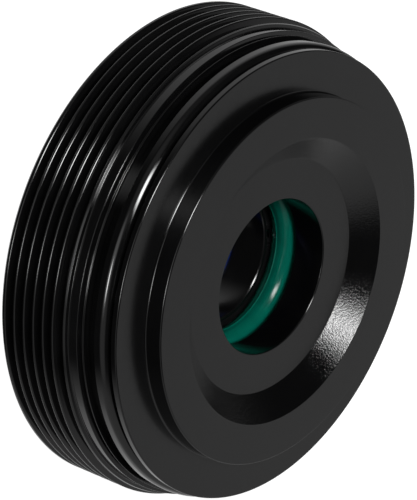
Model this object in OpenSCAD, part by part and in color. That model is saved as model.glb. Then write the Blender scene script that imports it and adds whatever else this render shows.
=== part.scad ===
// Electromagnetic clutch for a belt-driven compressor or pump.
// The shaft axis lies along Y. The front of the clutch faces -Y, +Z is up and
// y = 0 is the seating face of the mounting flange. Units are millimetres.

/* [Belt pulley] */
// Radius over the belt ridges
pulley_r = 70.8; // [70.4:0.1:71.5]
// Number of belt grooves
groove_count = 6; // [6]
// Distance from one belt groove to the next (PK profile)
groove_pitch = 3.56; // [3.5:0.01:3.6]
// Depth of a belt groove
groove_depth = 3.0; // [2.6:0.1:3.1]
// Width of the flat at the bottom of a groove
groove_floor = 0.7; // [0.6:0.05:0.8]
// Radius of the ridge in front of the last groove
land_r = 69.75; // [69.5:0.05:70]
// Radius of the shoulder in front of the land
shoulder_r = 68.55; // [68.2:0.05:68.8]

/* [Rotor] */
// Outer radius of the rotor nose beside the armature
nose_r = 64.8; // [64.4:0.1:65.2]
// Wall of the rotor inside the pulley
shell_t = 2.6; // [2.4:0.1:2.8]
// Thickness of the friction wall
wall_t = 5.7; // [5.2:0.1:6]
// Number of flux slots in each ring of slots
slot_count = 6; // [5:1:7]

/* [Bearing] */
// Bore radius of the inner ring
brg_bore_r = 20; // [20]
// Outside radius of the outer ring
brg_out_r = 28.5; // [28.5]
// Ball radius
ball_r = 2.6; // [2.4:0.05:2.65]
// Balls in each of the two rows
ball_count = 20; // [12:1:20]

/* [Armature and hub] */
// Air gap between the armature and the rotor at rest
air_gap = 0.5; // [0.4:0.05:0.55]
// Outer radius of the armature
arm_r = 67.0; // [66.8:0.05:67.1]
// Rounding of the outer front edge of the armature
arm_round = 2.3; // [1.8:0.1:2.6]
// Outer radius of the front plate
plate_r = 65.9; // [65.6:0.1:66.2]
// Outer radius of the raised boss
boss_r = 54.0; // [53.8:0.1:54.2]
// Height of the boss above the front plate
boss_h = 5.6; // [5.2:0.1:6]
// Outer radius of the conical recess
cone_out_r = 42.1; // [41.8:0.1:42.4]
// Inner radius of the conical recess
cone_in_r = 34.75; // [34.4:0.05:35]
// Radius of the shaft bore in the hub
hub_bore_r = 22.9; // [22.6:0.05:23.1]
// Number of leaf springs
spring_count = 3; // [3]

/* [Coil] */
// Outer radius of the coil housing
coil_out_r = 61.9; // [61.5:0.1:62]
// Inner radius of the coil housing
coil_in_r = 34.2; // [34.1:0.1:34.4]
// Bolt circle diameter of the mounting flange
bolt_pcd = 56; // [55:0.5:57]
// Radius of the mounting holes
bolt_hole_r = 2.75; // [2.6:0.05:2.8]

/* [Hidden] */
$fn = 96;
e = 0.01;

// heights h are measured forward from the seating face, along -Y
flange_t  = 4;
pulley_h0 = 5.5;                                  // rear face of the pulley
ridge0    = pulley_h0 + 1.68;                     // rearmost ridge
face_h    = 44.0;                                 // front face of the plate
plate_t   = 1.9;
fric_h    = 36.37;                                // friction face of the rotor
arm_h0    = fric_h + air_gap;                     // rear face of the armature
arm_h1    = 41.05;                                // front face of the armature
wall_h    = fric_h - wall_t;                      // rear side of the friction wall
root_r    = pulley_r - groove_depth;              // bottom of the grooves
rim_in_r  = root_r - 2.3;                         // seam between pulley and rotor
cav_r     = rim_in_r - shell_t;                   // outer wall of the coil space
hubw_r    = 33.2;                                 // outside of the rotor's inner tube
brg_h0    = 7.7;                                  // rear face of the bearing
brg_h1    = 23.7;                                 // front face of the bearing
row_h     = [11.7, 19.7];                         // the two ball rows
ball_pr   = (brg_bore_r + brg_out_r) / 2;         // radius of the ball circle
race_c    = 0.05;                                 // ball clearance
spr_h     = 41.2;                                 // underside of the leaf springs
spr_t     = 0.6;
spr_in_r  = 49.1;                                 // inner rivets
spr_out_r = 59.5;                                 // outer rivets
spr_turn  = 46;                                   // angle from inner to outer rivet
seal_h0   = 25.2;
seal_h1   = 32.2;
sleeve_r  = 18.5;
sleeve_h  = 25.7;
rseal_r   = 18.8;                                 // seat of the rear seal
rseal_h0  = 8.4;
rseal_h1  = 14.4;

// turn the local +Z axis to the clutch's front
module ax() { rotate([90, 0, 0]) children(); }
// a turned body from a list of [radius, height] points
module lathe(p) { rotate_extrude() polygon(p); }
module ring(r0, r1, h0, h1) { lathe([[r0, h0], [r1, h0], [r1, h1], [r0, h1]]); }
// ring with a 45 degree chamfer c on all four edges
module ring_c(r0, r1, h0, h1, c) {
    lathe([[r0 + c, h0], [r1 - c, h0], [r1, h0 + c], [r1, h1 - c],
           [r1 - c, h1], [r0 + c, h1], [r0, h1 - c], [r0, h0 + c]]);
}
// points along an arc in the [radius, height] plane
function arc(cr, ch, r, a0, a1, n) =
    [for (i = [0 : n]) let (a = a0 + (a1 - a0) * i / n) [cr + r * cos(a), ch + r * sin(a)]];
// curved slot through a plate, round at both ends
module arc_slot(r, w, sweep, h0, h1) {
    translate([0, 0, h0]) {
        rotate([0, 0, -sweep / 2]) rotate_extrude(angle = sweep)
            translate([r - w / 2, 0]) square([w, h1 - h0]);
        for (s = [-1, 1]) rotate([0, 0, s * sweep / 2]) translate([r, 0, 0])
            cylinder(r = w / 2, h = h1 - h0, $fn = 32);
    }
}
module polar(n, r, a0 = 0) { for (i = [0 : n - 1]) rotate([0, 0, a0 + i * 360 / n]) translate([r, 0, 0]) children(); }

// ------------------------------------------------------------ standing parts
module mounting_flange() color([0.30, 0.31, 0.33]) ax() difference() {
    ring_c(brg_bore_r, 57, 0, flange_t, 0.4);
    // countersunk mounting holes
    polar(4, bolt_pcd / 2, 45) {
        translate([0, 0, -1]) cylinder(r = bolt_hole_r, h = flange_t + 2, $fn = 48);
        translate([0, 0, flange_t - 2.2]) cylinder(r1 = bolt_hole_r, r2 = bolt_hole_r + 2.4, h = 2.4, $fn = 48);
    }
    // rivets of the coil housing
    polar(4, 48, 22.5) {
        translate([0, 0, -1]) cylinder(r = 2, h = flange_t + 2, $fn = 32);
        translate([0, 0, -0.2]) cylinder(r1 = 3.4, r2 = 2, h = 1.6, $fn = 32);
    }
    // notch for the lead outlet
    translate([51, -6.5, -1]) cube([10, 13, flange_t + 2]);
}
module bearing_sleeve() color([0.20, 0.20, 0.21]) ax() difference() {
    lathe([[sleeve_r, 0], [brg_bore_r, 0], [brg_bore_r, flange_t], [23, flange_t], [23, brg_h0],
           [brg_bore_r, brg_h0], [brg_bore_r, sleeve_h - 0.3], [brg_bore_r - 0.3, sleeve_h],
           [sleeve_r + 0.3, sleeve_h], [sleeve_r, sleeve_h - 0.3], [sleeve_r, rseal_h1 + 0.1],
           [rseal_r, rseal_h1 + 0.1], [rseal_r, rseal_h0 - 0.1], [sleeve_r, rseal_h0 - 0.1]]);
    // groove for the circlip
    ring(19.3, 21, 23.72, 24.98);
}
module coil_housing() color([0.26, 0.27, 0.29]) ax() difference() {
    lathe([[coil_in_r, flange_t], [coil_out_r - 0.6, flange_t], [coil_out_r, flange_t + 0.6],
           [coil_out_r, wall_h - 0.9], [coil_out_r - 0.3, wall_h - 0.6], [57.4, wall_h - 0.6], [57.4, 9],
           [38.4, 9], [38.4, wall_h - 0.6], [coil_in_r, wall_h - 0.6]]);
    polar(4, 48, 22.5) translate([0, 0, flange_t - 1]) cylinder(r = 2, h = 5.6, $fn = 32);
    // passage of the coil leads
    translate([53.6, 0, 3]) cylinder(r = 2.1, h = 7, $fn = 32);
}
module coil_bobbin() color([0.80, 0.76, 0.66]) ax() difference() {
    lathe([[38.5, 9.1], [57.3, 9.1], [57.3, 10.4], [39.8, 10.4], [39.8, 27.0], [57.3, 27.0], [57.3, 28.3], [38.5, 28.3]]);
    translate([53.6, 0, 8]) cylinder(r = 2.1, h = 3, $fn = 32);
}
module coil_winding() color([0.72, 0.38, 0.18]) ax() ring_c(39.9, 56.6, 10.5, 26.9, 0.8);
module coil_potting() color([0.16, 0.13, 0.11]) ax() lathe([[38.5, 28.4], [57.3, 28.4], [57.3, 29.6], [56.9, wall_h - 0.8], [38.9, wall_h - 0.8], [38.5, 29.6]]);
module coil_rivets() color([0.70, 0.71, 0.73]) ax() polar(4, 48, 22.5) {
    translate([0, 0, 1.2]) cylinder(r = 2, h = 7.3, $fn = 32);
    translate([0, 0, 0.2]) cylinder(r1 = 3.05, r2 = 2, h = 1.2, $fn = 32);
}
module lead_outlet() color([0.08, 0.08, 0.09]) ax() difference() {
    union() {
        translate([51.4, -6, 0.4]) cube([11.2, 12, 3.5]);
        translate([53.6, 0, 3]) cylinder(r = 2.05, h = 5.9, $fn = 32);
        translate([62.0, 0, 2.45]) rotate([0, 90, 0]) cylinder(r = 2.35, h = 5.4, $fn = 48);
        translate([65.2, 0, 2.45]) rotate([0, 90, 0]) cylinder(r = 2.44, h = 1.2, $fn = 48);
    }
    for (s = [-1, 1]) translate([56, s * 1.05, 2.45]) rotate([0, 90, 0]) cylinder(r = 0.8, h = 14, $fn = 24);
}
// inner and outer rings: the raceways are tori a little larger than the balls
module bearing_inner_ring() color([0.62, 0.64, 0.67]) ax() difference() {
    ring_c(brg_bore_r, 23.4, brg_h0, brg_h1, 0.35);
    for (h = row_h) rotate_extrude() translate([ball_pr, h]) circle(r = ball_r + race_c, $fn = 64);
}
module sleeve_circlip() color([0.12, 0.12, 0.13]) ax() difference() {
    union() {
        ring(19.3, 22.3, 23.75, 24.95);
        for (s = [-1, 1]) rotate([0, 0, s * 9]) translate([21.2, 0, 23.75]) cylinder(r = 1.9, h = 1.2, $fn = 32);
    }
    translate([21.6, 0, 24]) cube([6, 3.2, 4], center = true);
    for (s = [-1, 1]) rotate([0, 0, s * 9]) translate([21.4, 0, 23]) cylinder(r = 0.8, h = 3, $fn = 24);
    translate([0, 0, 23]) cylinder(r = 19.3, h = 3);
}
module rear_seal() color([0.05, 0.18, 0.50]) ax() lathe(concat(
    [[rseal_r, rseal_h0], [rseal_r, rseal_h1], [17.9, rseal_h1]],
    arc(17.9, rseal_h1 - 1.2, 1.2, 100, 180, 8),
    [[16.7, 12.0], [16.4, 11.4], [16.7, 10.8]],
    arc(17.9, rseal_h0 + 1.2, 1.2, 180, 260, 8), [[17.9, rseal_h0]]));

// -------------------------------------------------------------------- balls
module bearing_balls() color([0.80, 0.81, 0.84]) ax()
    for (k = [0, 1]) polar(ball_count, ball_pr, k * 180 / ball_count) translate([0, 0, row_h[k]]) sphere(r = ball_r, $fn = 32);
// crown cages: the closed rims face each other and the pockets open towards the shields
module ball_cages() color([0.78, 0.62, 0.30]) ax() for (k = [0, 1]) difference() {
    ring(23.65, 24.85, row_h[k] - (k == 0 ? 2.4 : 3.5), row_h[k] + (k == 0 ? 3.5 : 2.4));
    polar(ball_count, ball_pr - 4, k * 180 / ball_count) translate([0, 0, row_h[k]]) rotate([0, 90, 0])
        cylinder(r = ball_r + 0.1, h = 8, $fn = 32);
}

// ------------------------------------------------------------- pulley group
function flank(h) = h * tan(20);
// radius of a ridge's rounded crest, which runs into both flanks
crest_r = ((groove_pitch - groove_floor) / 2 - flank(groove_depth)) / (cos(20) - tan(20) * (1 - sin(20)));
// one groove floor and what follows it: the next ridge, or the front land
function groove_pts(i) = let (c = ridge0 + groove_pitch * (i + 0.5), w = groove_floor / 2)
    concat([[root_r, c - w], [root_r, c + w]], (i == groove_count - 1)
        ? [[land_r - 0.25, c + w + flank(land_r - 0.25 - root_r)]]
        : arc(pulley_r - crest_r, c + groove_pitch / 2, crest_r, -70, 70, 4));
module belt_pulley() color([0.05, 0.05, 0.055]) ax() lathe(concat(
    [[rim_in_r, pulley_h0 + 0.3], [rim_in_r + 0.3, pulley_h0], [pulley_r - 1.0, pulley_h0], [pulley_r - 0.4, pulley_h0 + 0.6], [pulley_r, pulley_h0 + 1.1]],
    arc(pulley_r - crest_r, ridge0, crest_r, 0, 70, 2),
    [for (i = [0 : groove_count - 1]) each groove_pts(i)],
    // front ridge, sloping down to the shoulder, then a narrow seam groove and a thin lip
    [[land_r, 28.0], [land_r - 0.25, 28.7], [shoulder_r + 0.15, 28.95], [shoulder_r, 29.3],
     [shoulder_r, 32.0], [shoulder_r - 0.15, 32.2], [67.0, 32.5], [66.75, 32.75], [66.75, 33.2],
     [67.4, 33.4], [67.55, 33.5], [67.55, 33.65], [67.45, 33.75], [rim_in_r, 33.75]]));
module rotor() color([0.055, 0.055, 0.06]) ax() difference() {
    lathe([[hubw_r, pulley_h0], [hubw_r, wall_h], [cav_r, wall_h], [cav_r, pulley_h0 + 0.8], [rim_in_r - 0.3, pulley_h0 + 0.8],
           [rim_in_r, pulley_h0 + 1.1], [rim_in_r, 33.75], [nose_r, 33.75], [nose_r, fric_h - 0.3], [nose_r - 0.3, fric_h],
           [brg_out_r + 0.6, fric_h], [brg_out_r, fric_h - 0.6],
           [brg_out_r, brg_h0], [26.5, brg_h0], [26.5, pulley_h0 + 0.3], [26.8, pulley_h0]]);
    // groove for the circlip
    ring(27, 30, 23.72, 25.02);
    // two rings of flux slots
    for (k = [0, 1]) polar(slot_count, 0, k * 180 / slot_count)
        arc_slot(k == 0 ? 43 : 56.5, 2.4, 360 / slot_count - (k == 0 ? 14 : 11), wall_h - 1, fric_h + 1);
    // seat of the friction ring
    ring(47.2, 52.2, fric_h - 2, fric_h + 1);
}
module friction_ring() color([0.34, 0.29, 0.24]) ax() ring(47.2, 52.2, fric_h - 2, fric_h);
module bearing_outer_ring() color([0.62, 0.64, 0.67]) ax() difference() {
    lathe([[25.9, brg_h0], [brg_out_r - 0.4, brg_h0], [brg_out_r, brg_h0 + 0.4], [brg_out_r, brg_h1 - 0.4],
           [brg_out_r - 0.4, brg_h1], [25.9, brg_h1], [25.9, brg_h1 - 1.5], [25.1, brg_h1 - 1.5],
           [25.1, brg_h0 + 1.5], [25.9, brg_h0 + 1.5]]);
    for (h = row_h) rotate_extrude() translate([ball_pr, h]) circle(r = ball_r + race_c, $fn = 64);
}
module shield(h) lathe([[23.47, h], [25.9, h], [25.9, h + 1.0], [24.2, h + 1.0], [23.9, h + 0.6], [23.47, h + 0.6]]);
module bearing_shield_front() color([0.10, 0.10, 0.11]) ax() shield(brg_h1 - 1.4);
module bearing_shield_rear() color([0.05, 0.18, 0.50]) ax() translate([0, 0, 2 * brg_h0 + 1.4]) mirror([0, 0, 1]) shield(brg_h0);
module rotor_circlip() color([0.12, 0.12, 0.13]) ax() difference() {
    union() {
        ring(26.9, 29.95, 23.75, 25.0);
        for (s = [-1, 1]) rotate([0, 0, 180 + s * 7]) translate([27.2, 0, 23.75]) cylinder(r = 1.9, h = 1.25, $fn = 32);
    }
    translate([-28, 0, 24]) cube([6, 2.8, 4], center = true);
    for (s = [-1, 1]) rotate([0, 0, 180 + s * 7]) translate([27.0, 0, 23]) cylinder(r = 0.8, h = 3, $fn = 24);
}
// lip seal: a full round front bead, one fine lip line, a hollow rear side
module front_seal() color([0.0, 0.40, 0.30]) ax() lathe(concat(
    [[brg_out_r, seal_h0 + 0.2], [brg_out_r, seal_h1], [24.4, seal_h1]],
    arc(24.4, 28.9, 3.3, 90, 180, 12),
    [[21.1, 28.3], [20.9, 28.0], [21.15, 27.7], [21.6, 26.4], [22.4, seal_h0], [23.6, seal_h0]]));

// ---------------------------------------------------------------- hub group
module drive_hub() color([0.09, 0.09, 0.095]) ax() lathe([
    [hub_bore_r + 0.3, 33.6], [26.5, 33.6], [26.8, 33.9], [26.8, face_h - plate_t], [36.0, face_h - plate_t], [36.4, 43.4], [43.0, 47.8],
    [boss_r - 1.8, 47.8], [boss_r - 1.8, face_h + 0.05], [boss_r + 0.5, face_h + 0.05], [boss_r + 0.25, face_h + 0.11],
    [boss_r + 0.07, face_h + 0.3], [boss_r, face_h + 0.55], [boss_r, face_h + boss_h - 0.35], [boss_r - 0.35, face_h + boss_h],
    [cone_out_r, face_h + boss_h], [cone_in_r, face_h], [hub_bore_r + 0.25, face_h], [hub_bore_r, face_h - 0.25], [hub_bore_r, 33.9]]);
module damper_rubber() color([0.03, 0.03, 0.03]) ax() lathe([
    [36.05, face_h - plate_t + 0.2], [36.4, 43.4], [43.0, 47.8], [44.0, 47.8], [44.0, face_h - plate_t + 0.2]]);
module front_plate() color([0.09, 0.09, 0.095]) ax() difference() {
    lathe([[44.0, face_h - plate_t], [plate_r - 0.15, face_h - plate_t], [plate_r, face_h - plate_t + 0.15],
           [plate_r, face_h - 0.2], [plate_r - 0.2, face_h], [46.0, face_h], [46.0, 47.2], [44.0, 47.2]]);
    polar(spring_count, spr_in_r) translate([0, 0, face_h - 5]) cylinder(r = 2.2, h = 7, $fn = 32);
    // pockets over the heads of the outer rivets
    polar(spring_count, spr_out_r, spr_turn) translate([0, 0, face_h - plate_t - 1]) cylinder(r = 4.2, h = 1.85, $fn = 48);
}
module hub_rivets() color([0.55, 0.56, 0.58]) ax() polar(spring_count, spr_in_r) {
    translate([0, 0, spr_h - 0.05]) cylinder(r = 2.2, h = face_h - spr_h + 0.05, $fn = 32);
    translate([0, 0, face_h]) cylinder(r1 = 2.6, r2 = 1.9, h = 1.3, $fn = 32);
    translate([0, 0, spr_h + spr_t + 0.02]) cylinder(r = 3.6, h = face_h - plate_t - spr_h - spr_t - 0.02, $fn = 48);
    translate([0, 0, spr_h - 0.85]) cylinder(r = 3.6, h = 0.83, $fn = 48);
}

// ----------------------------------------------------------- armature group
module armature_plate() color([0.07, 0.07, 0.075]) ax() difference() {
    lathe(concat(
        [[30.3, arm_h0], [arm_r - 0.25, arm_h0], [arm_r, arm_h0 + 0.25]],
        arc(arm_r - arm_round, arm_h1 - arm_round, arm_round, 0, 90, 14),
        [[30.3, arm_h1], [30, arm_h1 - 0.3], [30, arm_h0 + 0.3]]));
    polar(6, 0, 30) arc_slot(54.6, 2.2, 40, arm_h0 - 1, arm_h1 + 1);
    // room for the inner rivets
    polar(spring_count, spr_in_r) translate([0, 0, arm_h0 - 1]) cylinder(r = 4.1, h = 7, $fn = 48);
    // countersunk holes of the outer rivets
    polar(spring_count, spr_out_r, spr_turn) {
        translate([0, 0, arm_h0 - 1]) cylinder(r = 2, h = 7, $fn = 32);
        translate([0, 0, arm_h0 - 0.01]) cylinder(r1 = 3.3, r2 = 2, h = 1.3, $fn = 32);
    }
}
module leaf_springs() color([0.42, 0.44, 0.48]) ax() for (i = [0 : spring_count - 1]) rotate([0, 0, i * 360 / spring_count])
    difference() {
        union() {
            // strap between the two rivets, along the chord
            let (a = [spr_in_r, 0], b = [spr_out_r * cos(spr_turn), spr_out_r * sin(spr_turn)],
                 d = b - a, L = norm(d), t = atan2(d[1], d[0]))
                translate([a[0], a[1], spr_h]) rotate([0, 0, t]) translate([0, -4.2, 0]) cube([L, 8.4, spr_t]);
            translate([spr_in_r, 0, spr_h]) cylinder(r = 4.6, h = spr_t, $fn = 48);
            rotate([0, 0, spr_turn]) translate([spr_out_r, 0, spr_h]) cylinder(r = 4.6, h = spr_t, $fn = 48);
        }
        translate([spr_in_r, 0, spr_h - 1]) cylinder(r = 2.25, h = 3, $fn = 32);
        rotate([0, 0, spr_turn]) translate([spr_out_r, 0, spr_h - 1]) cylinder(r = 2, h = 3, $fn = 32);
    }
module armature_rivets() color([0.55, 0.56, 0.58]) ax() polar(spring_count, spr_out_r, spr_turn) {
    translate([0, 0, arm_h0 + 1.2]) cylinder(r = 2, h = spr_h + spr_t - arm_h0 - 1.2, $fn = 32);
    translate([0, 0, arm_h0 + 0.1]) cylinder(r1 = 3.19, r2 = 2, h = 1.19, $fn = 32);
    translate([0, 0, spr_h + spr_t]) cylinder(r1 = 3.5, r2 = 3.1, h = 0.7, $fn = 48);
    translate([0, 0, arm_h1]) cylinder(r = 3.6, h = spr_h - arm_h1, $fn = 48);
}

mounting_flange();
bearing_sleeve();
coil_housing();
coil_bobbin();
coil_winding();
coil_potting();
coil_rivets();
lead_outlet();
bearing_inner_ring();
sleeve_circlip();
rear_seal();
bearing_balls();
ball_cages();
belt_pulley();
rotor();
friction_ring();
bearing_outer_ring();
bearing_shield_front();
bearing_shield_rear();
rotor_circlip();
front_seal();
drive_hub();
damper_rubber();
front_plate();
hub_rivets();
armature_plate();
leaf_springs();
armature_rivets();
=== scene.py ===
"""Electromagnetic clutch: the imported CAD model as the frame, with finely turned
visible parts, procedural finishes, a white studio and the photograph's view."""
import math

import bmesh
import bpy
from mathutils import Matrix, Vector


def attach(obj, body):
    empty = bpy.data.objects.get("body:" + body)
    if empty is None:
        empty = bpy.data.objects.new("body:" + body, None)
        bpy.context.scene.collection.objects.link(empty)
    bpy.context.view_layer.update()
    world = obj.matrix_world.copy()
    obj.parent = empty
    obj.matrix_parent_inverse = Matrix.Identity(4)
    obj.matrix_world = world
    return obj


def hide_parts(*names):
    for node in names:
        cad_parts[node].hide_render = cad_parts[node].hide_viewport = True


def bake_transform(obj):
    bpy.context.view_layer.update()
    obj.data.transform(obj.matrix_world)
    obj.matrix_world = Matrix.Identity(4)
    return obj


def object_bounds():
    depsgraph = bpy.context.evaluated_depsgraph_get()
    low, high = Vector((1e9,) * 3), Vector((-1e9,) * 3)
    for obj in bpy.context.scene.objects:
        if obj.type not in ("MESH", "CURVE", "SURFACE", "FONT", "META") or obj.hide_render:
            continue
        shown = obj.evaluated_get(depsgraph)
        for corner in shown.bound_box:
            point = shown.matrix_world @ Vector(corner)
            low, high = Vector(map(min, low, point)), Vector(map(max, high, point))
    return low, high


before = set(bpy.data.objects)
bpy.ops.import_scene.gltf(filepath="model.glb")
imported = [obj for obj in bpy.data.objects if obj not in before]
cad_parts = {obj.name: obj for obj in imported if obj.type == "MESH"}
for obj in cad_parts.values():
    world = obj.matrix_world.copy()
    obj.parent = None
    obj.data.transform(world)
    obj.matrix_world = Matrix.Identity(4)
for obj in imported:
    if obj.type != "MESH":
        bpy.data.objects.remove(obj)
lo0, hi0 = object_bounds()

scene = bpy.context.scene
scene.view_settings.view_transform = "Standard"
scene.view_settings.look = "None"
scene.view_settings.exposure = 0.0
scene.view_settings.gamma = 1.0


# --------------------------------------------------------------- materials
class Mat:
    """A Principled material whose detail comes from noise in object space."""

    def __init__(self, name, base, rough, metallic=0.0, ior=1.5, spec=0.5):
        self.m = bpy.data.materials.new(name)
        self.m.use_nodes = True
        self.t = self.m.node_tree
        self.n = self.t.nodes
        self.b = next(x for x in self.n if x.type == "BSDF_PRINCIPLED")
        self.b.inputs["Base Color"].default_value = (*base, 1.0)
        self.b.inputs["Roughness"].default_value = rough
        self.b.inputs["Metallic"].default_value = metallic
        self.b.inputs["IOR"].default_value = ior
        self.b.inputs["Specular IOR Level"].default_value = spec
        self.base, self.rough = base, rough
        self.coord = self.n.new("ShaderNodeTexCoord").outputs["Object"]
        self.last = None
        self.polar = None

    def put(self, socket, value):
        self.b.inputs[socket].default_value = value
        return self

    def math(self, op, a, b=None, c=None, clamp=False):
        x = self.n.new("ShaderNodeMath")
        x.operation, x.use_clamp = op, clamp
        for i, v in enumerate((a, b, c)):
            if v is None:
                continue
            if isinstance(v, (int, float)):
                x.inputs[i].default_value = v
            else:
                self.t.links.new(v, x.inputs[i])
        return x.outputs[0]

    def turned(self):
        """Coordinates (radius, height, a little of the angle), so that noise becomes rings left by a lathe."""
        if self.polar is None:
            sep = self.n.new("ShaderNodeSeparateXYZ")
            self.t.links.new(self.coord, sep.inputs[0])
            x, y, z = sep.outputs
            rr = self.math("SQRT", self.math("ADD", self.math("MULTIPLY", x, x), self.math("MULTIPLY", z, z)))
            com = self.n.new("ShaderNodeCombineXYZ")
            self.t.links.new(rr, com.inputs[0])
            self.t.links.new(y, com.inputs[1])
            self.t.links.new(self.math("MULTIPLY", self.math("ARCTAN2", z, x), 0.0004), com.inputs[2])
            self.polar = com.outputs[0]
        return self.polar

    def noise(self, scale, detail=2.0, rough=0.5, turned=False, distortion=0.0):
        x = self.n.new("ShaderNodeTexNoise")
        x.inputs["Scale"].default_value = scale
        x.inputs["Detail"].default_value = detail
        x.inputs["Roughness"].default_value = rough
        x.inputs["Distortion"].default_value = distortion
        self.t.links.new(self.turned() if turned else self.coord, x.inputs["Vector"])
        return x.outputs["Fac"]

    def voronoi(self, scale, feature="F1", turned=False):
        x = self.n.new("ShaderNodeTexVoronoi")
        x.feature = feature
        x.inputs["Scale"].default_value = scale
        self.t.links.new(self.turned() if turned else self.coord, x.inputs["Vector"])
        return x.outputs["Distance"]

    def remap(self, v, a, b, lo=0.0, hi=1.0, smooth=False):
        x = self.n.new("ShaderNodeMapRange")
        if smooth:
            x.interpolation_type = "SMOOTHSTEP"
        for i, w in zip(("From Min", "From Max", "To Min", "To Max"), (a, b, lo, hi)):
            x.inputs[i].default_value = w
        self.t.links.new(v, x.inputs["Value"])
        return x.outputs[0]

    def tint(self, fac, dark, light, a=0.3, b=0.7):
        x = self.n.new("ShaderNodeValToRGB")
        x.color_ramp.elements[0].position, x.color_ramp.elements[1].position = a, b
        x.color_ramp.elements[0].color = (*dark, 1.0)
        x.color_ramp.elements[1].color = (*light, 1.0)
        self.t.links.new(fac, x.inputs[0])
        self.t.links.new(x.outputs[0], self.b.inputs["Base Color"])
        return self

    def rough_from(self, fac, lo, hi, a=0.3, b=0.7):
        self.t.links.new(self.remap(fac, a, b, lo, hi), self.b.inputs["Roughness"])
        return self

    def bump(self, height, distance, strength=1.0):
        x = self.n.new("ShaderNodeBump")
        x.inputs["Strength"].default_value = strength
        x.inputs["Distance"].default_value = distance
        self.t.links.new(height, x.inputs["Height"])
        if self.last is not None:
            self.t.links.new(self.last, x.inputs["Normal"])
        self.last = x.outputs["Normal"]
        self.t.links.new(self.last, self.b.inputs["Normal"])
        return self


def shade(c, k):
    return tuple(v * k for v in c)


def gloss_black(name, base=(0.0020, 0.0020, 0.0021), r=(0.11, 0.17), peel=0.0000016, grain=0.0000006, spec=0.5):
    """Stoved black enamel: faint orange peel, dust nibs and soft cloudiness in the gloss."""
    m = Mat(name, base, sum(r) / 2, spec=spec)
    cloud = m.noise(90.0, 3.0)
    m.tint(cloud, shade(base, 0.75), shade(base, 1.3))
    m.rough_from(m.noise(260.0, 4.0, 0.65), r[0], r[1])
    m.bump(m.noise(900.0, 2.0), peel)
    m.bump(m.noise(3800.0, 2.0, 0.6), grain)
    return m


def satin_black(name, base, r, grain, scale=3000.0, fleck=0.0):
    """Phosphated and painted flat: a fine even grain with darker and lighter clouds."""
    m = Mat(name, base, sum(r) / 2)
    mix = m.math("ADD", m.math("MULTIPLY", m.noise(70.0, 3.0), 0.6), m.math("MULTIPLY", m.noise(scale, 2.0), 0.4))
    m.tint(mix, shade(base, 0.8), shade(base, 1.22))
    m.rough_from(m.noise(450.0, 4.0, 0.6), r[0], r[1])
    m.bump(m.noise(scale, 3.0, 0.65), grain)
    if fleck:
        m.bump(m.remap(m.noise(scale * 0.62, 1.0), 0.55, 0.78, 0.0, 1.0), fleck)
    return m


def turned_metal(name, base, r, metallic=1.0, ring=0.0000012, scale=5200.0, stain=0.25, wet=0.0):
    """Turned metal: rings from the tool, long soft stains and a dull to bright sheen."""
    m = Mat(name, base, sum(r) / 2, metallic=metallic)
    rings = m.noise(scale, 3.0, 0.7, turned=True)
    cloud = m.noise(120.0, 4.0, 0.6)
    mix = m.math("ADD", m.math("MULTIPLY", rings, 0.45), m.math("MULTIPLY", cloud, 0.55))
    m.tint(mix, shade(base, 1.0 - stain), shade(base, 1.0 + stain * 0.6), 0.35, 0.65)
    m.rough_from(mix, r[0], r[1], 0.35, 0.65)
    m.bump(rings, ring)
    m.bump(m.noise(2600.0, 2.0), ring * 0.5)
    return m


def moulded(name, base, r, grain, scale=2600.0, vary=0.2, spec=0.5):
    """Moulded rubber or plastic: fine tool texture, faint flow marks, a slight bloom."""
    m = Mat(name, base, sum(r) / 2, spec=spec)
    flow = m.noise(160.0, 3.0, 0.55, distortion=0.6)
    m.tint(flow, shade(base, 1.0 - vary), shade(base, 1.0 + vary))
    m.rough_from(m.noise(700.0, 4.0, 0.6), r[0], r[1])
    m.bump(m.noise(scale, 3.0, 0.6), grain)
    return m


M = {}
M["enamel"] = gloss_black("black_enamel", r=(0.07, 0.11))
M["enamel_groove"] = gloss_black("black_enamel_grooves", r=(0.07, 0.12), peel=0.0000018, grain=0.0000008)
# A darker copy of the black enamel for side walls, the bore step and the rotor: painted shade.
M["enamel_wall_painted_shade"] = gloss_black("black_enamel_wall", base=(0.0014, 0.0014, 0.0015), r=(0.07, 0.11))
M["satin"] = satin_black("black_satin_flat", (0.0024, 0.0024, 0.0025), (0.20, 0.26), 0.0000010)
M["cone"] = satin_black("black_blasted_cone", (0.0012, 0.0012, 0.0013), (0.08, 0.12), 0.0000720, 1850.0, 0.0000100).put("Specular IOR Level", 0.64)
# The bore's black is darker and reflects less than the enamel outside: painted shade inside the bore.
M["bore"] = gloss_black("black_bore", base=(0.0014, 0.0014, 0.0015), r=(0.10, 0.15), peel=0.0000012, spec=0.28)
M["steel"] = turned_metal("zinc_phosphated_steel", (0.33, 0.335, 0.34), (0.34, 0.50), scale=3800.0)
M["rivet"] = turned_metal("rivet_steel", (0.46, 0.46, 0.46), (0.28, 0.42), scale=6000.0)
M["bearing"] = turned_metal("ground_bearing_steel", (0.60, 0.605, 0.62), (0.10, 0.20), scale=9000.0, ring=0.0000003, stain=0.1)
M["spring"] = turned_metal("spring_steel", (0.30, 0.32, 0.36), (0.26, 0.38), scale=3000.0, ring=0.0000005)
M["phosphate"] = turned_metal("black_phosphate", (0.0025, 0.0025, 0.0026), (0.12, 0.19), metallic=0.0, scale=5200.0, ring=0.0000010)
M["circlip"] = turned_metal("black_oxide", (0.0040, 0.0040, 0.0042), (0.30, 0.40), metallic=0.0, scale=5200.0).put("Specular IOR Level", 0.15)
M["friction_face"] = turned_metal("ground_pole_face", (0.24, 0.24, 0.25), (0.30, 0.44), scale=4200.0, ring=0.0000030)
M["brass"] = turned_metal("brass_cage", (0.62, 0.43, 0.17), (0.24, 0.36), scale=5200.0)
M["green"] = moulded("green_seal_rubber", (0.0003, 0.082, 0.056), (0.13, 0.18), 0.0000008, 2400.0, vary=0.12, spec=0.22)
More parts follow.
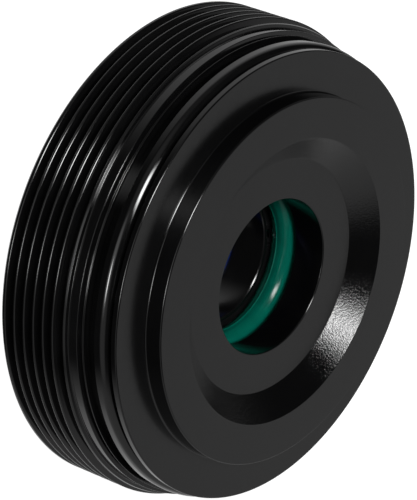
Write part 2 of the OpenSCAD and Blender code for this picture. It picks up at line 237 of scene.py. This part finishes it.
M["blue"] = moulded("blue_seal_rubber", (0.0010, 0.0090, 0.0700), (0.28, 0.36), 0.0000012, 2400.0, spec=0.3)
M["rubber"] = moulded("black_damper_rubber", (0.012, 0.012, 0.012), (0.50, 0.66), 0.0000060, 1800.0)
M["plastic"] = moulded("black_moulded_plastic", (0.014, 0.014, 0.015), (0.38, 0.50), 0.0000050, 2200.0)
M["nylon"] = moulded("natural_nylon", (0.62, 0.56, 0.43), (0.36, 0.48), 0.0000040, 1500.0, vary=0.08)
M["resin"] = moulded("potting_resin", (0.022, 0.016, 0.012), (0.14, 0.26), 0.0000120, 500.0, vary=0.35)


def friction_lining():
    """Bonded friction lining: a brown-grey matrix with brass and fibre flecks."""
    m = Mat("friction_lining", (0.10, 0.078, 0.060), 0.85)
    cells = m.voronoi(1500.0)
    m.tint(m.math("ADD", m.math("MULTIPLY", cells, 0.8), m.math("MULTIPLY", m.noise(2600.0, 4.0), 0.4)), (0.055, 0.045, 0.036), (0.17, 0.135, 0.095), 0.25, 0.8)
    m.rough_from(cells, 0.75, 0.95)
    m.bump(cells, 0.00003)
    return m


def copper_winding():
    """Enamelled copper wire in layers, one turn beside the next; its colour is painted shade between the turns and a
    painted highlight along each turn's crest.
    """
    m = Mat("copper_winding", (0.60, 0.24, 0.09), 0.3, metallic=1.0)
    sep = m.n.new("ShaderNodeSeparateXYZ")
    m.t.links.new(m.turned(), sep.inputs[0])
    turns = m.math("ADD", m.math("SINE", m.math("MULTIPLY", sep.outputs[0], 2 * math.pi / 0.0006)),
                   m.math("SINE", m.math("MULTIPLY", sep.outputs[1], 2 * math.pi / 0.0006)))
    # The colour follows the turns: painted shade in the hollows between turns, a painted highlight on their crests.
    m.tint(m.remap(turns, -2.0, 2.0), (0.30, 0.10, 0.035), (0.72, 0.31, 0.12), 0.1, 0.8)
    m.rough_from(m.noise(900.0, 3.0), 0.22, 0.36)
    m.bump(turns, 0.00008)
    return m


M["lining"] = friction_lining()
M["copper"] = copper_winding()


# ------------------------------------------------------- turned visible parts
def corner(a, p, b, rad, n=5):
    """The arc that rounds corner p between neighbours a and b, in the (radius, height) plane."""
    a, p, b = Vector(a), Vector(p), Vector(b)
    u, v = (a - p), (b - p)
    lu, lv = u.length, v.length
    if lu < 1e-9 or lv < 1e-9:
        return [tuple(p)]
    u, v = u / lu, v / lv
    cosf = max(-1.0, min(1.0, u.dot(v)))
    phi = math.acos(cosf)
    if phi > math.radians(172) or rad <= 0:
        return [tuple(p)]
    t = min(rad / math.tan(phi / 2), 0.46 * lu, 0.46 * lv)
    rad = t * math.tan(phi / 2)
    p0, p1 = p + u * t, p + v * t
    c = p + (u + v).normalized() * (rad / math.sin(phi / 2))
    a0 = math.atan2(p0.y - c.y, p0.x - c.x)
    a1 = math.atan2(p1.y - c.y, p1.x - c.x)
    d = (a1 - a0 + math.pi) % (2 * math.pi) - math.pi
    return [(c.x + rad * math.cos(a0 + d * k / n), c.y + rad * math.sin(a0 + d * k / n)) for k in range(n + 1)]


def arc(cr, ch, rad, a0, a1, n, tag=None):
    return [(cr + rad * math.cos(math.radians(a0 + (a1 - a0) * k / n)),
             ch + rad * math.sin(math.radians(a0 + (a1 - a0) * k / n)), 0.0, tag) for k in range(n + 1)]


def section(points):
    """Closed profile: each point is (radius, height, rounding, tag of its rounding and what follows, tag after the rounding if it differs)."""
    out, n, tag = [], len(points), None
    for i, p in enumerate(points):
        r, h = p[0], p[1]
        rad = p[2] if len(p) > 2 else 0.0
        if len(p) > 3 and p[3] is not None:
            tag = p[3]
        a, b = points[i - 1][:2], points[(i + 1) % n][:2]
        ring = corner(a, (r, h), b, rad) if rad > 0 else [(r, h)]
        out += [(q[0], q[1], tag) for q in ring]
        if len(p) > 4:
            tag = p[4]
            out[-1] = (out[-1][0], out[-1][1], tag)
    clean = [out[0]]
    for q in out[1:]:
        if math.hypot(q[0] - clean[-1][0], q[1] - clean[-1][1]) > 1e-5:
            clean.append(q)
    return clean


def fine(o, weighted=True):
    """Smooth shading that keeps real edges."""
    o.data.shade_smooth()
    o.data.set_sharp_from_angle(angle=math.radians(33))
    if weighted:
        w = o.modifiers.new("weighted", "WEIGHTED_NORMAL")
        w.keep_sharp = True
        w.weight = 60
    return o


def lathe(name, points, materials, segs=320):
    """A turned part about the clutch's axis. materials maps a tag to a material."""
    prof = section(points)
    tags = list(materials)
    me = bpy.data.meshes.new(name)
    bm = bmesh.new()
    rings = []
    for r, h, _ in prof:
        rings.append([bm.verts.new((r * math.cos(2 * math.pi * k / segs) / 1000, -h / 1000,
                                    r * math.sin(2 * math.pi * k / segs) / 1000)) for k in range(segs)])
    for i, (_, _, tag) in enumerate(prof):
        a, b = rings[i], rings[(i + 1) % len(rings)]
        for k in range(segs):
            f = bm.faces.new((a[k], b[k], b[(k + 1) % segs], a[(k + 1) % segs]))
            f.material_index = tags.index(tag) if tag in tags else 0
    bmesh.ops.recalc_face_normals(bm, faces=bm.faces)
    bm.to_mesh(me)
    bm.free()
    o = bpy.data.objects.new(name, me)
    scene.collection.objects.link(o)
    for t in tags:
        me.materials.append(materials[t].m)
    return o


def prism(bm, ring, h0, h1):
    """Adds a prism over a closed outline in the clutch's face plane."""
    lo = [bm.verts.new((x / 1000, -h0 / 1000, z / 1000)) for x, z in ring]
    hi = [bm.verts.new((x / 1000, -h1 / 1000, z / 1000)) for x, z in ring]
    n = len(ring)
    bm.faces.new(lo)
    bm.faces.new(hi[::-1])
    for k in range(n):
        bm.faces.new((lo[k], hi[k], hi[(k + 1) % n], lo[(k + 1) % n]))


def frustum(bm, x, z, r0, r1, h0, h1, n=40):
    lo = [bm.verts.new(((x + r0 * math.cos(2 * math.pi * k / n)) / 1000, -h0 / 1000, (z + r0 * math.sin(2 * math.pi * k / n)) / 1000)) for k in range(n)]
    hi = [bm.verts.new(((x + r1 * math.cos(2 * math.pi * k / n)) / 1000, -h1 / 1000, (z + r1 * math.sin(2 * math.pi * k / n)) / 1000)) for k in range(n)]
    bm.faces.new(lo)
    bm.faces.new(hi[::-1])
    for k in range(n):
        bm.faces.new((lo[k], hi[k], hi[(k + 1) % n], lo[(k + 1) % n]))


def slot_outline(r, w, mid, sweep, n=28):
    """Outline of a curved slot, round at both ends. Angles in degrees from +X towards +Z."""
    a0, a1 = math.radians(mid - sweep / 2), math.radians(mid + sweep / 2)
    pts = [((r + w / 2) * math.cos(a0 + (a1 - a0) * k / n), (r + w / 2) * math.sin(a0 + (a1 - a0) * k / n)) for k in range(n + 1)]
    for k in range(1, 10):
        t = a1 + math.pi * k / 10
        pts.append((r * math.cos(a1) + w / 2 * math.cos(t), r * math.sin(a1) + w / 2 * math.sin(t)))
    pts += [((r - w / 2) * math.cos(a1 + (a0 - a1) * k / n), (r - w / 2) * math.sin(a1 + (a0 - a1) * k / n)) for k in range(n + 1)]
    for k in range(1, 10):
        t = a0 + math.pi + math.pi * k / 10
        pts.append((r * math.cos(a0) + w / 2 * math.cos(t), r * math.sin(a0) + w / 2 * math.sin(t)))
    return pts


def cut(o, fill):
    """Takes the solids that fill() adds to a bmesh out of the part."""
    bm = bmesh.new()
    fill(bm)
    bmesh.ops.recalc_face_normals(bm, faces=bm.faces)
    me = bpy.data.meshes.new("cutter")
    bm.to_mesh(me)
    bm.free()
    tool = bpy.data.objects.new("cutter", me)
    scene.collection.objects.link(tool)
    b = o.modifiers.new("cut", "BOOLEAN")
    b.operation, b.solver, b.object = "DIFFERENCE", "EXACT", tool
    dg = bpy.context.evaluated_depsgraph_get()
    made = bpy.data.meshes.new_from_object(o.evaluated_get(dg))
    o.modifiers.clear()
    old = o.data
    o.data = made
    made.name = o.name
    bpy.data.meshes.remove(old)
    bpy.data.objects.remove(tool)
    bpy.data.meshes.remove(me)
    return o


def stand_for(o, node, body):
    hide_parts(node)
    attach(o, body)
    return fine(o)


# The belt pulley: six PK grooves with rounded crests and roots
P_R, P_PITCH, P_DEPTH, P_FLOOR, P_RIDGE0 = 70.8, 3.56, 3.0, 0.7, 7.18
T20 = math.tan(math.radians(20))
CREST = ((P_PITCH - P_FLOOR) / 2 - P_DEPTH * T20) / (math.cos(math.radians(20)) - T20 * (1 - math.sin(math.radians(20))))
pulley = [(65.5, 5.8, 0), (65.8, 5.5, 0.1), (69.8, 5.5, 0.3), (70.4, 6.1, 0.3), (70.8, 6.6, 0.25)]
pulley += arc(P_R - CREST, P_RIDGE0, CREST, 0, 70, 5, "groove")
for i in range(6):
    c = P_RIDGE0 + P_PITCH * (i + 0.5)
    pulley += [(P_R - P_DEPTH, c - P_FLOOR / 2, 0.22, "groove"), (P_R - P_DEPTH, c + P_FLOOR / 2, 0.22, "groove")]
    if i < 5:
        pulley += arc(P_R - CREST, c + P_PITCH / 2, CREST, -70, 70, 10, "groove")
c = P_RIDGE0 + P_PITCH * 5.5
pulley += [(69.75, 27.85, 0.32, "enamel"), (69.50, 28.72, 0.18), (68.64, 28.98, 0.22), (68.55, 29.6, 0.3), (68.55, 32.2, 0.22),
           (66.85, 32.55, 0.2), (66.75, 33.3, 0.2), (67.40, 33.42, 0.1), (67.55, 33.5, 0.1), (67.52, 33.75, 0.12), (65.5, 33.75, 0)]
stand_for(lathe("pulley_turned", [(*p[:3], p[3] if len(p) > 3 else None) if k else (p[0], p[1], p[2], "enamel") for k, p in enumerate(pulley)],
                {"enamel": M["enamel"], "groove": M["enamel_groove"]}, 384), "belt_pulley", "pulley")

# The armature: a plate with a full round on its outer front edge
AR, AH0, AH1, ARND = 67.0, 36.87, 41.05, 2.3
arm = [(30.3, AH0, 0.1, "face"), (AR - 0.25, AH0, 0.1, "rim"), (AR, AH0 + 0.25, 0.1)]
arm += arc(AR - ARND, AH1 - ARND, ARND, 0, 90, 20, "rim")
arm += [(30.3, AH1, 0.1, "rim"), (30.0, AH1 - 0.3, 0.1), (30.0, AH0 + 0.3, 0.1)]
arm_o = lathe("armature_turned", arm, {"rim": M["enamel"], "face": M["friction_face"]}, 320)


def armature_cuts(bm):
    for i in range(6):
        prism(bm, slot_outline(54.6, 2.2, 30 + 60 * i, 40), AH0 - 1, AH1 + 1)
    for i in range(3):
        a = math.radians(120 * i)
        frustum(bm, 49.1 * math.cos(a), 49.1 * math.sin(a), 4.1, 4.1, AH0 - 1, AH1 + 2)
        a = math.radians(120 * i + 46)
        frustum(bm, 59.5 * math.cos(a), 59.5 * math.sin(a), 2.0, 2.0, AH0 + 0.9, AH1 + 1)
        frustum(bm, 59.5 * math.cos(a), 59.5 * math.sin(a), 3.6, 2.0, AH0 - 0.3, AH0 + 1.3)


cut(arm_o, armature_cuts)
stand_for(arm_o, "armature_plate", "armature")

# The front plate: a flat disc with a collar inside the boss
plate = [(44.0, 42.1, 0.1, "satin"), (65.75, 42.1, 0.1, "wall"), (65.9, 42.25, 0.1), (65.9, 44.0, 0.38, "wall", "satin"), (46.0, 44.0, 0.15), (46.0, 47.2, 0.1), (44.0, 47.2, 0.1)]
plate_o = lathe("plate_turned", plate, {"satin": M["satin"], "wall": M["enamel_wall_painted_shade"]}, 320)


def plate_cuts(bm):
    for i in range(3):
        a = math.radians(120 * i)
        frustum(bm, 49.1 * math.cos(a), 49.1 * math.sin(a), 2.2, 2.2, 40, 47)
        a = math.radians(120 * i + 46)
        frustum(bm, 59.5 * math.cos(a), 59.5 * math.sin(a), 4.2, 4.2, 41.1, 42.95)


cut(plate_o, plate_cuts)
stand_for(plate_o, "front_plate", "hub")

# The hub: tube, inner flat, cone and raised boss in one turning
hub = [(23.2, 33.6, 0.1, "bore"), (26.5, 33.6, 0.1, "bore"), (26.8, 33.9, 0.1), (26.8, 42.1, 0.3), (36.0, 42.1, 0.1), (36.4, 43.4, 0.1),
       (43.0, 47.8, 0.3), (52.2, 47.8, 0.2), (52.2, 44.05, 0), (54.48, 44.03, 0, "wall")]
hub += arc(54.5, 44.55, 0.5, 266, 180, 8, "wall") + [
       (54.0, 49.6, 0.42, "wall", "satin"),
       (42.1, 49.6, 0.28, "cone"), (34.75, 44.0, 0.30, "satin"), (22.9, 44.0, 0.35, "wall", "bore"), (22.9, 33.9, 0.1, "bore")]
stand_for(lathe("hub_turned", hub, {"satin": M["satin"], "cone": M["cone"], "wall": M["enamel_wall_painted_shade"], "bore": M["bore"]}, 320),
          "drive_hub", "hub")

# The green lip seal: a full bead, one fine lip line and a hollow rear
seal = [(28.5, 25.4, 0.15, "green"), (28.5, 32.2, 0.3), (24.4, 32.2, 0)]
seal += arc(24.4, 28.9, 3.3, 90, 180, 18, "green")[1:]
seal += [(21.1, 28.3, 0.12), (20.9, 28.0, 0.1), (21.15, 27.7, 0.12), (21.6, 26.4, 0.4), (22.4, 25.2, 0.2), (23.6, 25.2, 0.3)]
stand_for(lathe("seal_green_turned", seal, {"green": M["green"]}, 288), "front_seal", "pulley")

# The sleeve that carries the bearing, with the seat of the rear seal
sleeve = [(18.5, 0.0, 0.15, "phos"), (20.0, 0.0, 0.1), (20.0, 4.0, 0), (23.0, 4.0, 0.1), (23.0, 7.7, 0.1), (20.0, 7.7, 0),
          (20.0, 23.72, 0), (19.3, 23.72, 0), (19.3, 24.98, 0), (20.0, 24.98, 0), (20.0, 25.4, 0.1), (19.7, 25.7, 0.1),
          (18.8, 25.7, 0.1), (18.5, 25.4, 0.1), (18.5, 14.5, 0), (18.8, 14.5, 0), (18.8, 8.3, 0), (18.5, 8.3, 0)]
stand_for(lathe("sleeve_turned", sleeve, {"phos": M["phosphate"]}, 256), "bearing_sleeve", "stator")

# The blue ring in the rear of the bore
blue = [(18.8, 8.4, 0, "blue"), (18.8, 14.4, 0), (17.9, 14.4, 0)]
blue += arc(17.9, 13.2, 1.2, 100, 180, 10, "blue") + [(16.7, 12.0, 0.2), (16.4, 11.4, 0.2), (16.7, 10.8, 0.2)]
blue += arc(17.9, 9.6, 1.2, 180, 260, 10, "blue") + [(17.9, 8.4, 0)]
stand_for(lathe("seal_blue_turned", blue, {"blue": M["blue"]}, 256), "rear_seal", "stator")

# Leaf springs: one piece each, cut across between the hub's rivet and the armature's
def leaf_spring(i, base):
    """Spring i of the three: its rivets' places follow from the corners of its own mesh."""
    m = bmesh.new()
    m.from_mesh(base)
    bmesh.ops.remove_doubles(m, verts=m.verts[:], dist=0.000002)
    seen, groups = set(), []
    for v in m.verts:
        if v in seen:
            continue
        todo, group = [v], []
        seen.add(v)
        while todo:
            q = todo.pop()
            group.append(q)
            for e in q.link_edges:
                w = e.other_vert(q)
                if w not in seen:
                    seen.add(w)
                    todo.append(w)
        groups.append(group)
    groups.sort(key=lambda g: math.atan2(sum(v.co.z for v in g), sum(v.co.x for v in g)))
    keep = set(groups[i])
    bmesh.ops.delete(m, geom=[v for v in m.verts if v not in keep], context="VERTS")
    mid = sum((v.co for v in m.verts), Vector()) / len(m.verts)
    best = None
    for k in range(3):
        for sgn in (1, -1):
            a0, a1 = math.radians(120 * k), math.radians(120 * k + 46)
            p = Vector((0.0491 * math.cos(a0), mid.y, sgn * 0.0491 * math.sin(a0)))
            q = Vector((0.0595 * math.cos(a1), mid.y, sgn * 0.0595 * math.sin(a1)))
            near = min((v.co - p).length for v in m.verts) + min((v.co - q).length for v in m.verts)
            off = abs(near - 0.00425) + ((p + q) / 2 - mid).length
            if best is None or off < best[0]:
                best = (off, p, q)
    p, q = best[1], best[2]
    d = q - p
    for k in range(1, 20):
        bmesh.ops.bisect_plane(m, geom=m.verts[:] + m.edges[:] + m.faces[:], plane_co=p + d * (0.10 + 0.80 * k / 20), plane_no=d)
    me = bpy.data.meshes.new("leaf_spring_%d" % (i + 1))
    m.to_mesh(me)
    m.free()
    me.materials.clear()
    me.materials.append(M["spring"].m)
    o = bpy.data.objects.new("leaf_spring_%d" % (i + 1), me)
    scene.collection.objects.link(o)
    fine(o, False)
    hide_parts("leaf_springs")
    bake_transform(o)
    return len(groups)


SPRING_PARTS = 3
for i in range(3):
    SPRING_PARTS = leaf_spring(i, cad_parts["leaf_springs"].data)
if SPRING_PARTS != 3:
    raise RuntimeError("leaf_springs has %d loose parts" % SPRING_PARTS)

# ----------------------------------------------- finishes on the CAD's own parts
FINISH = {
    "mounting_flange": "steel", "coil_housing": "steel", "coil_bobbin": "nylon", "coil_winding": "copper",
    "coil_potting": "resin", "coil_rivets": "rivet", "lead_outlet": "plastic", "bearing_inner_ring": "bearing",
    "bearing_outer_ring": "bearing", "bearing_balls": "bearing", "ball_cages": "brass", "sleeve_circlip": "circlip",
    "rotor_circlip": "circlip", "rotor": "enamel_wall_painted_shade", "friction_ring": "lining", "bearing_shield_front": "rubber",
    "bearing_shield_rear": "blue", "damper_rubber": "rubber", "hub_rivets": "rivet", "leaf_springs": "spring",
    "armature_rivets": "rivet", "armature_plate": "enamel", "belt_pulley": "enamel", "front_plate": "satin",
    "drive_hub": "satin", "front_seal": "green", "bearing_sleeve": "phosphate", "rear_seal": "blue",
}
for node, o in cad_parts.items():
    mat = M[FINISH[node]].m
    if not o.data.materials:
        o.data.materials.append(mat)
    for s in o.material_slots:
        s.material = mat

# ------------------------------------------------------------- studio and camera
world = bpy.data.worlds.new("studio")
scene.world = world
world.use_nodes = True
wt = world.node_tree
wn = wt.nodes
wn.clear()


def wlink(a, b):
    wt.links.new(a, b)


def wmath(op, a, b=None, clamp=False):
    x = wn.new("ShaderNodeMath")
    x.operation, x.use_clamp = op, clamp
    for i, v in enumerate((a, b)):
        if v is None:
            continue
        if isinstance(v, (int, float)):
            x.inputs[i].default_value = v
        else:
            wlink(v, x.inputs[i])
    return x.outputs[0]


def wstep(v, a, b, lo=0.0, hi=1.0):
    x = wn.new("ShaderNodeMapRange")
    x.interpolation_type = "SMOOTHSTEP"
    for i, w in zip(("From Min", "From Max", "To Min", "To Max"), (a, b, lo, hi)):
        x.inputs[i].default_value = w
    wlink(v, x.inputs["Value"])
    return x.outputs[0]


direction = wn.new("ShaderNodeTexCoord").outputs["Generated"]


def wdot(v):
    x = wn.new("ShaderNodeVectorMath")
    x.operation = "DOT_PRODUCT"
    x.inputs[1].default_value = v
    wlink(direction, x.inputs[0])
    return x.outputs["Value"]


def softbox(c, along, half_l, half_w, soft_l, soft_w, e):
    """A softbox seen in direction c, half_l by half_w in radians, fading at its edges."""
    c = Vector(c).normalized()
    t = Vector(along)
    t = (t - c * t.dot(c)).normalized()
    n = c.cross(t)
    a = wmath("ABSOLUTE", wdot(t))
    b = wmath("ABSOLUTE", wdot(n))
    m = wmath("MULTIPLY", wstep(a, half_l - soft_l, half_l + soft_l, 1.0, 0.0), wstep(b, half_w - soft_w, half_w + soft_w, 1.0, 0.0))
    front = wstep(wdot(c), 0.2, 0.4)
    return wmath("MULTIPLY", wmath("MULTIPLY", m, front), e)


def heading(az, el):
    """Direction from an azimuth off the clutch's front, positive towards +X, and an elevation."""
    a, e = math.radians(az), math.radians(el)
    return Vector((math.sin(a) * math.cos(e), -math.cos(a) * math.cos(e), math.sin(e)))


def lobe(az, el, inner, outer, e):
    """A round glow: full inside the inner angle, gone at the outer one."""
    return wmath("MULTIPLY", wstep(wdot(heading(az, el)), math.cos(math.radians(outer)), math.cos(math.radians(inner))), e)


def brightest(*parts):
    v = parts[0]
    for p in parts[1:]:
        v = wmath("MAXIMUM", v, p)
    return v


up = wdot((0, 0, 1))
# pale floor from below, its glow at the left, right front and right rear, a dim ceiling
env = brightest(
    wstep(up, -0.50, -0.74, 0.0, 0.50),
    lobe(55, -20, 16, 34, 0.49),
    lobe(148, 18, 22, 62, 0.80),
    lobe(165, -60, 20, 40, 0.85),
    lobe(-76, -20, 16, 40, 0.48),
    lobe(-86, 12, 10, 30, 1.7),
    lobe(-70, 50, 10, 46, 0.34),
    lobe(0, 90, 5, 40, 0.13),
)
env = wmath("ADD", env, 0.035)
strip_a, strip_b = heading(-5, 14), heading(-38, 37)
env = wmath("ADD", env, softbox(strip_a + strip_b, strip_b - strip_a, 0.27, 0.095, 0.16, 0.075, 40.0))
env = wmath("ADD", env, softbox(heading(-86, 6), (0, 0, 1), 0.12, 0.09, 0.09, 0.07, 26.0))
bg = wn.new("ShaderNodeBackground")
wlink(env, bg.inputs["Strength"])
white = wn.new("ShaderNodeBackground")
white.inputs["Color"].default_value = (1, 1, 1, 1)
white.inputs["Strength"].default_value = 1.0
seen = wn.new("ShaderNodeLightPath")
mixw = wn.new("ShaderNodeMixShader")
wlink(seen.outputs["Is Camera Ray"], mixw.inputs[0])
wlink(bg.outputs[0], mixw.inputs[1])
wlink(white.outputs[0], mixw.inputs[2])
wout = wn.new("ShaderNodeOutputWorld")
wlink(mixw.outputs[0], wout.inputs["Surface"])

# white floor, lit to white, with no more than a breath of shadow at the contact
floor_me = bpy.data.meshes.new("floor")
s, z = 6.0, lo0.z - 0.00002
floor_me.from_pydata([(-s, -s, z), (s, -s, z), (s, s, z), (-s, s, z)], [], [(0, 1, 2, 3)])
floor = bpy.data.objects.new("floor", floor_me)
scene.collection.objects.link(floor)
fm = bpy.data.materials.new("floor_white")
fm.use_nodes = True
ft = fm.node_tree
ft.nodes.clear()
fd = ft.nodes.new("ShaderNodeBsdfDiffuse")
fd.inputs["Color"].default_value = (0.25, 0.25, 0.25, 1)
fe = ft.nodes.new("ShaderNodeEmission")
fe.inputs["Strength"].default_value = 0.975
fa = ft.nodes.new("ShaderNodeAddShader")
fo = ft.nodes.new("ShaderNodeOutputMaterial")
ft.links.new(fd.outputs[0], fa.inputs[0])
ft.links.new(fe.outputs[0], fa.inputs[1])
ft.links.new(fa.outputs[0], fo.inputs["Surface"])
floor_me.materials.append(fm)
floor.visible_glossy = False
floor.visible_diffuse = False
floor.visible_shadow = False

R, U, B = Vector((0.652, -0.758, 0.0)), Vector((0.325, 0.279, 0.903)), Vector((-0.685, -0.589, 0.429))
B.normalize()
R = (R - B * R.dot(B)).normalized()
U = B.cross(R)
cam_data = bpy.data.cameras.new("camera")
cam_data.lens, cam_data.sensor_width, cam_data.sensor_fit = 252.0, 36.0, "AUTO"
cam_data.clip_start, cam_data.clip_end = 0.01, 50.0
cam = bpy.data.objects.new("camera", cam_data)
scene.collection.objects.link(cam)
cam.location = Vector((0, -0.044, 0)) - R * 0.01797 + U * 0.00760 + B * 0.9877
cam.rotation_mode = "QUATERNION"
cam.rotation_quaternion = Matrix((R, U, B)).transposed().to_quaternion()
scene.camera = cam
